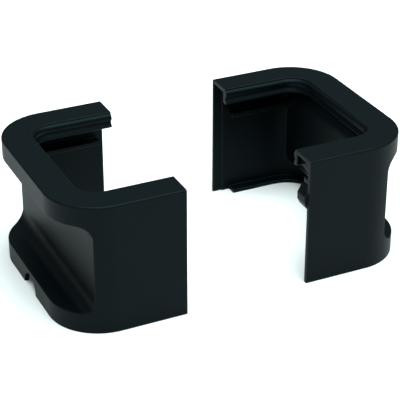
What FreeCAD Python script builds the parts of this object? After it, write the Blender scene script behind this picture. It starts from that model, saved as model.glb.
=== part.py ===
import FreeCAD, Part
import os

V = FreeCAD.Vector

# A two-piece clip-round collar: two U-shaped, thin-walled moulded half shells that
# close towards each other around a rectangular post.  Millimetres, +Z up, the base on
# Z = 0, the halves facing each other along X with the origin midway between them.

# --- overall sizes ---------------------------------------------------------------
width = 100.0            # across both arms, along Y
height = 62.5            # base to top face
half_length = 56.2       # arm end to the outside of the spine, along X
open_gap = 60.0          # between the arm ends when the halves stand apart
corner_radius = 24.6     # outside corners in plan
ring_width = 14.0        # top plate, from the outside to the aperture edge

# --- moulding thicknesses --------------------------------------------------------
wall = 2.0
plate = 1.8              # top plate and bottom ledge
clearance = 0.3          # kept between the two halves wherever they pass or meet

# --- hand-hold channel along the outside of each spine -----------------------------
top_band = 9.8           # full-depth band above the channel
bottom_band = 9.5        # full-depth band below it
channel_depth = 13.8
channel_radius = 6.2

# --- lip that hangs from the aperture edge -----------------------------------------
lip_drop = 5.8           # below the underside of the plate
lip_wall = 1.6
bead = 1.3               # upper bead, into the aperture
flare = 1.3              # foot of the lip, into the aperture

# --- stiffening shelf inside each long wall ----------------------------------------
shelf_depth = 17.7       # top face of the shelf below the top of the shell
shelf_thick = 2.0
shelf_setback = 7.7      # shelf starts this far back from an arm end
shelf_short_setback = 3.1

# --- bottom ledge and the arch cut into the spine ------------------------------------
ledge_width = 7.2        # from the outside of the wall; the shelves are as wide
ledge_setback = 8.8
arch_radius = 7.3
arch_height = 7.5
arch_relief = 4.0        # the ledge stops this far short of the arch on each side

# --- meeting ends --------------------------------------------------------------------
rebate_length = 4.6
rebate_depth = 0.7
lug_reach = 1.2          # the lug stands out of the arm end by this much
lug_width = 7.0          # from the inside of the wall
lug_tip_height = 3.4
lug_ramp_height = 3.7
lug_ramp_run = 1.95
lug_chamfer_height = 2.7
lug_chamfer_run = 1.3
lug_drop = 18.4          # top of the lug's tip below the top of the shell
tab_drop = 9.8           # small rib over the lug
tab_thick = 2.0
tab_width = 3.5
gusset_setback = 2.8     # upright gusset under the plate, behind the arm end
gusset_thick = 1.6
gusset_sag = 1.1         # its lower edge hangs this far below the foot of the lip

# --- edge softening --------------------------------------------------------------------
top_edge_radius = 0.8
channel_edge_radius = 0.4

end_x = open_gap / 2.0
web_x = half_length - channel_depth          # arm end to the channel's floor
lip_bottom = height - plate - lip_drop
shelf_top = height - shelf_depth


def prism(wire, z0, z1):
    return Part.Face(wire).extrude(V(0, 0, z1 - z0)).translated(V(0, 0, z0))


def box(x0, x1, y0, y1, z0, z1):
    low = V(min(x0, x1), min(y0, y1), min(z0, z1))
    return Part.makeBox(abs(x1 - x0), abs(y1 - y0), abs(z1 - z0), low)


def quarter(cx, cy, r, a0, a1):
    return Part.ArcOfCircle(Part.Circle(V(cx, cy, 0), V(0, 0, 1), r), a0, a1).toShape()


def u_edges(inset, x_end):
    """Open U in plan: the outline moved inwards, from one arm end to the other."""
    x0 = -half_length + inset
    y0 = width / 2.0 - inset
    r = corner_radius - inset
    half_turn = 3.141592653589793
    return [
        Part.makeLine(V(x_end, y0, 0), V(x0 + r, y0, 0)),
        quarter(x0 + r, y0 - r, r, half_turn / 2, half_turn),
        Part.makeLine(V(x0, y0 - r, 0), V(x0, -y0 + r, 0)),
        quarter(x0 + r, -y0 + r, r, half_turn, half_turn * 1.5),
        Part.makeLine(V(x0 + r, -y0, 0), V(x_end, -y0, 0)),
    ]


def u_wire(inset, x_end):
    """The same U closed straight across at x_end."""
    y0 = width / 2.0 - inset
    edges = u_edges(inset, x_end)
    edges.append(Part.makeLine(V(x_end, -y0, 0), V(x_end, y0, 0)))
    return Part.Wire(edges)


def channel_prism(grow):
    """The channel across the spine; grow makes the same shape one wall larger."""
    x0 = -half_length - 5.0
    x1 = -web_x + grow
    z0 = bottom_band - grow
    z1 = height - top_band + grow
    r = channel_radius + grow
    half_turn = 3.141592653589793
    bottom = Part.ArcOfCircle(Part.Circle(V(x1 - r, z0 + r, 0), V(0, 0, 1), r),
                              -half_turn / 2, 0).toShape()
    top = Part.ArcOfCircle(Part.Circle(V(x1 - r, z1 - r, 0), V(0, 0, 1), r),
                           0, half_turn / 2).toShape()
    wire = Part.Wire([
        Part.makeLine(V(x0, z0, 0), V(x1 - r, z0, 0)),
        bottom,
        Part.makeLine(V(x1, z0 + r, 0), V(x1, z1 - r, 0)),
        top,
        Part.makeLine(V(x1 - r, z1, 0), V(x0, z1, 0)),
        Part.makeLine(V(x0, z1, 0), V(x0, z0, 0)),
    ])
    face = Part.Face(wire)
    face.rotate(V(0, 0, 0), V(1, 0, 0), 90)
    face.translate(V(0, width / 2.0 + 5.0, 0))
    return face.extrude(V(0, -width - 10.0, 0))


def outer_block():
    """Solid U-plan block with the soft top edge and the channel cut across it."""
    block = prism(u_wire(0.0, 0.0), 0.0, height)
    rim = [e for e in block.Edges
           if e.BoundBox.ZMin > height - 0.01 and e.BoundBox.XMin < -0.01]
    block = block.makeFillet(top_edge_radius, rim)
    block = block.cut(channel_prism(0.0))
    return block


def channel_rims(shape):
    """Edges where the channel breaks out through the outside of the shell."""
    found = []
    for e in shape.Edges:
        mid = e.valueAt((e.FirstParameter + e.LastParameter) / 2.0)
        ends = [v.Point for v in e.Vertexes] + [mid]
        in_band = all(bottom_band - 0.01 < p.z < height - top_band + 0.01 for p in ends)
        outside = all(on_outside(p) for p in ends)
        if in_band and outside and mid.x < -0.5:
            found.append(e)
    return found


def on_outside(p):
    """True for a point on the vertical outer surface of the spine or its corners."""
    cx = -half_length + corner_radius
    cy = width / 2.0 - corner_radius
    if p.x > cx + 0.01:
        return False
    if abs(p.y) <= cy:
        return abs(p.x + half_length) < 0.01
    d = ((p.x - cx) ** 2 + (abs(p.y) - cy) ** 2) ** 0.5
    return abs(d - corner_radius) < 0.01


def cavity():
    """Everything hollow below the plate, leaving one wall round the channel."""
    hollow = prism(u_wire(wall, 1.0), -1.0, height - plate)
    return hollow.cut(channel_prism(wall))


def aperture():
    """The opening in the top plate, rounded at its two inner corners."""
    return prism(u_wire(ring_width, 1.0), height - plate - 0.2, height + 1.0)


def lip():
    """Hanging lip with a broad upper bead, a groove and a flared foot.

    The section is drawn at one arm end, where d runs from the aperture edge back
    towards the outer wall, and is carried round the U of the aperture edge."""
    y0 = width / 2.0 - ring_width
    under = height - plate
    top = height - plate / 2.0
    foot = lip_bottom

    def at(d, z):
        return V(0, y0 + d, z)

    lines = [
        Part.makeLine(at(lip_wall, top), at(0.0, top)),
        Part.Arc(at(0.0, top), at(-bead, under - 1.1), at(-0.1, under - 2.9)).toShape(),
        Part.makeLine(at(-0.1, under - 2.9), at(-0.1, under - 3.3)),
        Part.makeLine(at(-0.1, under - 3.3), at(-flare + 0.1, foot + 0.8)),
        Part.Arc(at(-flare + 0.1, foot + 0.8), at(-flare, foot + 0.4),
                 at(-flare + 0.3, foot)).toShape(),
        Part.makeLine(at(-flare + 0.3, foot), at(lip_wall - 0.4, foot)),
        Part.makeLine(at(lip_wall - 0.4, foot), at(lip_wall, foot + 0.4)),
        Part.makeLine(at(lip_wall, foot + 0.4), at(lip_wall, top)),
    ]
    section = Part.Wire(lines)
    path = Part.Wire(u_edges(ring_width, 0.0))
    swept = path.makePipeShell([section], True, False)
    return Part.Solid(swept) if swept.ShapeType == "Shell" else swept


def ledge():
    """In-turned flange round the bottom, stopping short of both arm ends."""
    ring = prism(u_wire(0.0, -ledge_setback), 0.0, plate)
    ring = ring.cut(prism(u_wire(ledge_width, 1.0), -1.0, plate + 1.0))
    return ring


def arch():
    """Arch through the lower band, midway along the spine, and the gap in the ledge."""
    x0 = -half_length - 1.0
    run = ledge_width + 1.5
    post = box(x0, x0 + run, -arch_radius, arch_radius, -1.0, arch_height - arch_radius)
    crown = Part.makeCylinder(arch_radius, run, V(x0, 0, arch_height - arch_radius),
                              V(1, 0, 0))
    gap = box(-half_length + wall, -half_length + ledge_width + 1.0,
              -arch_radius - arch_relief, arch_radius + arch_relief, -1.0, plate + 0.5)
    return post.fuse([crown, gap])


def shelf(side, setback):
    """Long rib on the inside of one arm's wall, from the setback to the web."""
    y_wall = side * (width / 2.0 - wall / 2.0)
    y_edge = side * (width / 2.0 - ledge_width)
    rib = box(-web_x + wall / 2.0, -setback, y_wall, y_edge,
              shelf_top - shelf_thick, shelf_top)
    return rib.common(prism(u_wire(wall / 2.0, 0.0), 0.0, height))


def rebate(side):
    """Thinning of the inside of one wall at the arm end, where the lug goes in."""
    y_in = side * (width / 2.0 - wall)
    return box(-rebate_length, 1.0, y_in, y_in + side * rebate_depth,
               -1.0, height - plate)


def lug(side):
    """Wedge at the arm end: upright tip, ramp above it and a chamfer below."""
    z_tip = height - lug_drop
    z_low = z_tip - lug_tip_height
    points = [
        V(-shelf_setback, 0, z_tip + lug_ramp_height),
        V(lug_reach - lug_ramp_run, 0, z_tip + lug_ramp_height),
        V(lug_reach, 0, z_tip),
        V(lug_reach, 0, z_low),
        V(lug_reach - lug_chamfer_run, 0, z_low - lug_chamfer_height),
        V(-shelf_setback, 0, z_low - lug_chamfer_height),
    ]
    face = Part.Face(Part.makePolygon(points + points[:1]))
    y_wall = side * (width / 2.0 - wall)
    wedge = face.extrude(V(0, -side * lug_width, 0)).translated(V(0, y_wall, 0))
    root = box(-shelf_setback, -clearance, y_wall + side * wall / 2.0, y_wall,
               z_low - lug_chamfer_height, z_tip + lug_ramp_height)
    return wedge.fuse(root)


def lug_cover(side):
    """Small rib above the lug, and the gusset under the plate just behind the arm end.

    The gusset ties plate, lip and wall together; its lower edge sags in the middle."""
    y_wall = side * (width / 2.0 - wall / 2.0)
    y_tab = side * (width / 2.0 - wall - tab_width)
    y_lip = side * (width / 2.0 - ring_width + lip_wall / 2.0)
    z_top = height - plate / 2.0
    z_lip = lip_bottom + 0.2
    z_wall = lip_bottom - gusset_sag / 2.0
    tab = box(-shelf_setback, 0.0, y_wall, y_tab,
              height - tab_drop - tab_thick, height - tab_drop)
    lower_edge = Part.Arc(V(0, y_lip, z_lip),
                          V(0, (y_lip + y_wall) / 2.0, lip_bottom - gusset_sag),
                          V(0, y_wall, z_wall)).toShape()
    outline = Part.Wire([
        lower_edge,
        Part.makeLine(V(0, y_wall, z_wall), V(0, y_wall, z_top)),
        Part.makeLine(V(0, y_wall, z_top), V(0, y_lip, z_top)),
        Part.makeLine(V(0, y_lip, z_top), V(0, y_lip, z_lip)),
    ])
    gusset = Part.Face(outline).extrude(V(-gusset_thick, 0, 0))
    return tab.fuse(gusset.translated(V(-gusset_setback, 0, 0)))


def half_shell(near_rebated, far_rebated, near_setback, far_setback, with_lug):
    """One half, spine towards -X, arm ends on X = 0, near arm at -Y."""
    shell = outer_block()
    rims = channel_rims(shell)
    shell = shell.makeFillet(channel_edge_radius, rims)
    shell = shell.cut(cavity())
    shell = shell.cut(aperture())
    shell = shell.fuse([lip(), ledge(), shelf(-1, near_setback), shelf(1, far_setback)])
    shell = shell.cut(arch())
    if near_rebated:
        shell = shell.cut(rebate(-1))
    if far_rebated:
        shell = shell.cut(rebate(1))
    if with_lug:
        shell = shell.fuse([lug(-1), lug_cover(-1)])
    shell = shell.removeSplitter()
    solids = shell.Solids
    if len(solids) != 1:
        raise RuntimeError("half shell came out as %d solids" % len(solids))
    return solids[0]


def left_half_shell():
    half = half_shell(near_rebated=True, far_rebated=False,
                      near_setback=shelf_setback, far_setback=shelf_short_setback,
                      with_lug=False)
    return half.translated(V(-end_x, 0, 0))


def right_half_shell():
    half = half_shell(near_rebated=False, far_rebated=True,
                      near_setback=shelf_setback, far_setback=shelf_setback,
                      with_lug=True)
    half = half.mirror(V(0, 0, 0), V(1, 0, 0))
    return half.translated(V(end_x, 0, 0))


os.makedirs("parts", exist_ok=True)
for name, shape in (("left_half_shell", left_half_shell()),
                    ("right_half_shell", right_half_shell())):
    bounds = shape.optimalBoundingBox(False, False)
    print(name, "valid", shape.isValid(), "volume", round(shape.Volume, 1),
          "X %.2f..%.2f Y %.2f..%.2f Z %.2f..%.2f" % (
              bounds.XMin, bounds.XMax, bounds.YMin, bounds.YMax,
              bounds.ZMin, bounds.ZMax))
    shape.exportStep("parts/" + name + ".step")
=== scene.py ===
import math

import bpy
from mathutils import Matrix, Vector


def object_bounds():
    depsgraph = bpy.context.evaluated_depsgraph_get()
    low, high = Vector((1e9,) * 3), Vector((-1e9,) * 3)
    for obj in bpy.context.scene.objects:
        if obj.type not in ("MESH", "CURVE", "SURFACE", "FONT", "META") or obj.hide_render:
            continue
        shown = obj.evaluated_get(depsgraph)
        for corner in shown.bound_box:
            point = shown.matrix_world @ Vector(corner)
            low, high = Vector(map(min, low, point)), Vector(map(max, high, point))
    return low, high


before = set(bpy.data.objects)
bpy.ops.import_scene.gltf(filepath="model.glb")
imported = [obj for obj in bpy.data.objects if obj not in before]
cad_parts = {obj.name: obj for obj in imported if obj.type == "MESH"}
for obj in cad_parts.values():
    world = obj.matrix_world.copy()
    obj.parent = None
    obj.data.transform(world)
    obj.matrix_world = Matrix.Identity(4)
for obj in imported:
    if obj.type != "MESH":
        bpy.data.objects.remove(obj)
cad_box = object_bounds()

# ---------------------------------------------------------------------------------
# Left half shell
# One U-shaped thin-walled moulding: near-black, slightly blue-green polypropylene,
# shot into a tool with a fine spark-eroded texture.  The ejector pins marked the
# underside of the top plate, out of sight.
# ---------------------------------------------------------------------------------


def tool_texture_group():
    """The texture that the tool leaves on every face of a moulding.

    Height is spark-eroded grain about 0.3 mm across with finer pits inside it.
    Matt is 0 to 1: patches about 20 mm across where the melt filled the texture
    more completely.  Rubbed is 0 to 1: sparse short scuffs from handling."""
    group = bpy.data.node_groups.new("tool_texture", "ShaderNodeTree")
    sockets = group.interface
    sockets.new_socket("Grain per metre", in_out="INPUT", socket_type="NodeSocketFloat")
    sockets.new_socket("Shift", in_out="INPUT", socket_type="NodeSocketVector")
    for name in ("Height", "Matt", "Rubbed"):
        sockets.new_socket(name, in_out="OUTPUT", socket_type="NodeSocketFloat")
    nodes, links = group.nodes, group.links
    given = nodes.new("NodeGroupInput")
    result = nodes.new("NodeGroupOutput")
    place = nodes.new("ShaderNodeTexCoord")
    moved = nodes.new("ShaderNodeVectorMath")
    links.new(place.outputs["Object"], moved.inputs[0])
    links.new(given.outputs["Shift"], moved.inputs[1])

    grain = nodes.new("ShaderNodeTexNoise")
    grain.inputs["Detail"].default_value = 3.0
    grain.inputs["Roughness"].default_value = 0.6
    links.new(moved.outputs["Vector"], grain.inputs["Vector"])
    links.new(given.outputs["Grain per metre"], grain.inputs["Scale"])
    links.new(grain.outputs["Fac"], result.inputs["Height"])

    patches = nodes.new("ShaderNodeTexNoise")
    patches.inputs["Scale"].default_value = 45.0
    patches.inputs["Detail"].default_value = 4.0
    links.new(moved.outputs["Vector"], patches.inputs["Vector"])
    links.new(patches.outputs["Fac"], result.inputs["Matt"])

    scuffs = nodes.new("ShaderNodeTexNoise")
    scuffs.inputs["Scale"].default_value = 190.0
    scuffs.inputs["Detail"].default_value = 6.0
    scuffs.inputs["Distortion"].default_value = 1.6
    links.new(moved.outputs["Vector"], scuffs.inputs["Vector"])
    sparse = nodes.new("ShaderNodeMapRange")
    sparse.inputs["From Min"].default_value = 0.60
    sparse.inputs["From Max"].default_value = 0.74
    links.new(scuffs.outputs["Fac"], sparse.inputs["Value"])
    links.new(sparse.outputs["Result"], result.inputs["Rubbed"])
    return group


def ejector_marks_group():
    """Shallow ejector discs on the underside of the top plate.

    Depth is 1 inside a thin ring round each disc and falls to 0 away from it, and
    is 0 outside a thin band of heights at the underside.  The discs stand in a row
    along each arm, at an even pitch along X."""
    group = bpy.data.node_groups.new("ejector_marks", "ShaderNodeTree")
    sockets = group.interface
    sockets.new_socket("Depth", in_out="OUTPUT", socket_type="NodeSocketFloat")
    nodes, links = group.nodes, group.links
    result = nodes.new("NodeGroupOutput")
    place = nodes.new("ShaderNodeTexCoord")
    split = nodes.new("ShaderNodeSeparateXYZ")
    links.new(place.outputs["Object"], split.inputs["Vector"])

    def maths(operation, first, second=None):
        node = nodes.new("ShaderNodeMath")
        node.operation = operation
        links.new(first, node.inputs[0])
        if isinstance(second, float):
            node.inputs[1].default_value = second
        elif second is not None:
            links.new(second, node.inputs[1])
        return node.outputs["Value"]

    pitch = 0.016
    disc_radius = 0.0022
    row_inset = 0.0075
    row_from_middle = cad_box[1].y - row_inset
    plate_thickness = 0.0018
    underside = cad_box[1].z - plate_thickness
    band_bottom = underside - 0.0007
    band_top = underside + 0.0004
    along = maths("PINGPONG", split.outputs["X"], pitch / 2.0)
    across = maths("SUBTRACT", maths("ABSOLUTE", split.outputs["Y"]), row_from_middle)
    squares = maths("ADD", maths("MULTIPLY", along, along),
                    maths("MULTIPLY", across, across))
    radius = maths("SQRT", squares)
    edge = maths("ABSOLUTE", maths("SUBTRACT", radius, disc_radius))
    ring = nodes.new("ShaderNodeMapRange")
    ring.inputs["From Min"].default_value = 0.00005
    ring.inputs["From Max"].default_value = 0.00025
    ring.inputs["To Min"].default_value = 1.0
    ring.inputs["To Max"].default_value = 0.0
    links.new(edge, ring.inputs["Value"])
    below_top = maths("LESS_THAN", split.outputs["Z"], band_top)
    above_bottom = maths("GREATER_THAN", split.outputs["Z"], band_bottom)
    on_underside = maths("MULTIPLY", below_top, above_bottom)
    shown = maths("MULTIPLY", on_underside, ring.outputs["Result"])
    links.new(shown, result.inputs["Depth"])
    return group


tool_texture = tool_texture_group()
ejector_marks = ejector_marks_group()


def moulded_plastic(name, shift):
    """Near-black moulding: textured faces, corners worn smoother and painted lighter.

    The corners are found by rounding the surface normal over 0.6 mm and comparing it
    with the true one; there the texture is worn smoother and the base colour is a
    little greyer, a painted highlight so that edges catch the light as a moulded edge
    does."""
    material = bpy.data.materials.new(name)
    material.use_nodes = True
    nodes, links = material.node_tree.nodes, material.node_tree.links
    plastic = nodes["Principled BSDF"]
    plastic.inputs["IOR"].default_value = 1.5
    plastic.inputs["Specular IOR Level"].default_value = 0.08
    plastic.inputs["Specular Tint"].default_value = (0.74, 1.0, 1.08, 1.0)

    texture = nodes.new("ShaderNodeGroup")
    texture.node_tree = tool_texture
    texture.inputs["Grain per metre"].default_value = 3400.0
    texture.inputs["Shift"].default_value = shift
    marks = nodes.new("ShaderNodeGroup")
    marks.node_tree = ejector_marks

    soft = nodes.new("ShaderNodeBevel")
    soft.samples = 6
    soft.inputs["Radius"].default_value = 0.0006
    true_face = nodes.new("ShaderNodeNewGeometry")
    agree = nodes.new("ShaderNodeVectorMath")
    agree.operation = "DOT_PRODUCT"
    links.new(soft.outputs["Normal"], agree.inputs[0])
    links.new(true_face.outputs["Normal"], agree.inputs[1])
    # Corner mask: smoother roughness, and a painted highlight in the base colour along the
    # edges.
    corner = nodes.new("ShaderNodeMapRange")
    corner.inputs["From Min"].default_value = 0.995
    corner.inputs["From Max"].default_value = 0.85
    links.new(agree.outputs["Value"], corner.inputs["Value"])

    grain = nodes.new("ShaderNodeBump")
    grain.inputs["Strength"].default_value = 0.18
    grain.inputs["Distance"].default_value = 0.00006
    links.new(texture.outputs["Height"], grain.inputs["Height"])
    links.new(soft.outputs["Normal"], grain.inputs["Normal"])
    pressed = nodes.new("ShaderNodeBump")
    pressed.inputs["Strength"].default_value = 0.5
    pressed.inputs["Distance"].default_value = 0.00005
    pressed.invert = True
    links.new(marks.outputs["Depth"], pressed.inputs["Height"])
    links.new(grain.outputs["Normal"], pressed.inputs["Normal"])
    links.new(pressed.outputs["Normal"], plastic.inputs["Normal"])

    matt = nodes.new("ShaderNodeMapRange")
    matt.inputs["To Min"].default_value = 0.41
    matt.inputs["To Max"].default_value = 0.51
    links.new(texture.outputs["Matt"], matt.inputs["Value"])
    worn = nodes.new("ShaderNodeMath")
    worn.operation = "MULTIPLY_ADD"
    worn.inputs[1].default_value = -0.08
    links.new(corner.outputs["Result"], worn.inputs[0])
    links.new(matt.outputs["Result"], worn.inputs[2])
    rubbed = nodes.new("ShaderNodeMath")
    rubbed.operation = "MULTIPLY_ADD"
    rubbed.inputs[1].default_value = -0.03
    links.new(texture.outputs["Rubbed"], rubbed.inputs[0])
    links.new(worn.outputs["Value"], rubbed.inputs[2])
    links.new(rubbed.outputs["Value"], plastic.inputs["Roughness"])

    # Painted highlight: the base colour turns greyer (colour B) along the corners.
    shade = nodes.new("ShaderNodeMix")
    shade.data_type = "RGBA"
    shade.inputs["A"].default_value = (0.0009, 0.0019, 0.0027, 1.0)
    shade.inputs["B"].default_value = (0.0130, 0.0190, 0.0200, 1.0)
    links.new(corner.outputs["Result"], shade.inputs["Factor"])
    links.new(shade.outputs["Result"], plastic.inputs["Base Color"])
    return material


left_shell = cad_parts["left_half_shell"]
left_shell.data.materials.clear()
left_shell.data.materials.append(moulded_plastic("left_moulding", (0.0, 0.0, 0.0)))

# ---------------------------------------------------------------------------------
# Right half shell
# The facing half, moulded in the same near-black plastic in its own tool, with the
# wedge-shaped lug, the small rib over it and the gusset behind the arm end all in one
# piece.
# ---------------------------------------------------------------------------------
right_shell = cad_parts["right_half_shell"]
right_shell.data.materials.clear()
right_shell.data.materials.append(moulded_plastic("right_moulding", (0.31, 0.17, 0.05)))

# ---------------------------------------------------------------------------------
# Floor and light
# Pale paper under one large soft panel overhead; the dim surround fades to near
# dark at the horizon.  Panel and surround are blue-green, so the paper is warm
# enough to look white under them.
# ---------------------------------------------------------------------------------
centre = (cad_box[0] + cad_box[1]) / 2.0
floor_half = 3.0
floor_mesh = bpy.data.meshes.new("studio_floor")
floor_mesh.from_pydata(
    [(-floor_half, -floor_half, 0), (floor_half, -floor_half, 0),
     (floor_half, floor_half, 0), (-floor_half, floor_half, 0)],
    [], [(0, 1, 2, 3)])
floor = bpy.data.objects.new("studio_floor", floor_mesh)
bpy.context.scene.collection.objects.link(floor)
paper = bpy.data.materials.new("pale_paper")
paper.use_nodes = True
paper_shader = paper.node_tree.nodes["Principled BSDF"]
paper_shader.inputs["Base Color"].default_value = (0.955, 0.83, 0.83, 1)
paper_shader.inputs["Roughness"].default_value = 0.9
floor_mesh.materials.append(paper)

panel_place = Vector((0.12, -0.3, 1.5))
panel = bpy.data.lights.new("top_panel", "AREA")
panel.shape = "SQUARE"
panel.size = 1.5
panel.energy = 50.0
panel.color = (0.76, 1.0, 0.99)
panel_object = bpy.data.objects.new("top_panel", panel)
panel_object.location = panel_place
panel_object.rotation_mode = "QUATERNION"
panel_object.rotation_quaternion = (centre - panel_place).to_track_quat("-Z", "Y")
bpy.context.scene.collection.objects.link(panel_object)

world = bpy.data.worlds.new("studio")
world.use_nodes = True
sky, sky_links = world.node_tree.nodes, world.node_tree.links
surround = sky["Background"]
surround.inputs["Color"].default_value = (0.80, 1.0, 1.04, 1)
toward = sky.new("ShaderNodeTexCoord")
parts = sky.new("ShaderNodeSeparateXYZ")
fade = sky.new("ShaderNodeMapRange")
fade.interpolation_type = "SMOOTHSTEP"
fade.inputs["From Min"].default_value = 0.22
fade.inputs["From Max"].default_value = 0.56
fade.inputs["To Min"].default_value = 0.03
fade.inputs["To Max"].default_value = 0.64
sky_links.new(toward.outputs["Generated"], parts.inputs["Vector"])
sky_links.new(parts.outputs["Z"], fade.inputs["Value"])
sky_links.new(fade.outputs["Result"], surround.inputs["Strength"])
bpy.context.scene.world = world
bpy.context.scene.view_settings.view_transform = "Standard"

# ---------------------------------------------------------------------------------
# Camera
# A long lens, looking down at the pair from the front left.
# ---------------------------------------------------------------------------------
azimuth = math.radians(-25.21)
elevation = math.radians(28.61)
eye = Vector((-0.2548, -0.5404, 0.3519))
back = Vector((math.sin(azimuth) * math.cos(elevation),
               -math.cos(azimuth) * math.cos(elevation), math.sin(elevation)))
camera_data = bpy.data.cameras.new("camera")
camera_data.sensor_width = 36.0
camera_data.lens = 130.0
camera_data.clip_end = 20.0
camera = bpy.data.objects.new("camera", camera_data)
camera.rotation_mode = "QUATERNION"
camera.location = eye
camera.rotation_quaternion = (-back).to_track_quat("-Z", "Y")
bpy.context.scene.collection.objects.link(camera)
bpy.context.scene.camera = camera
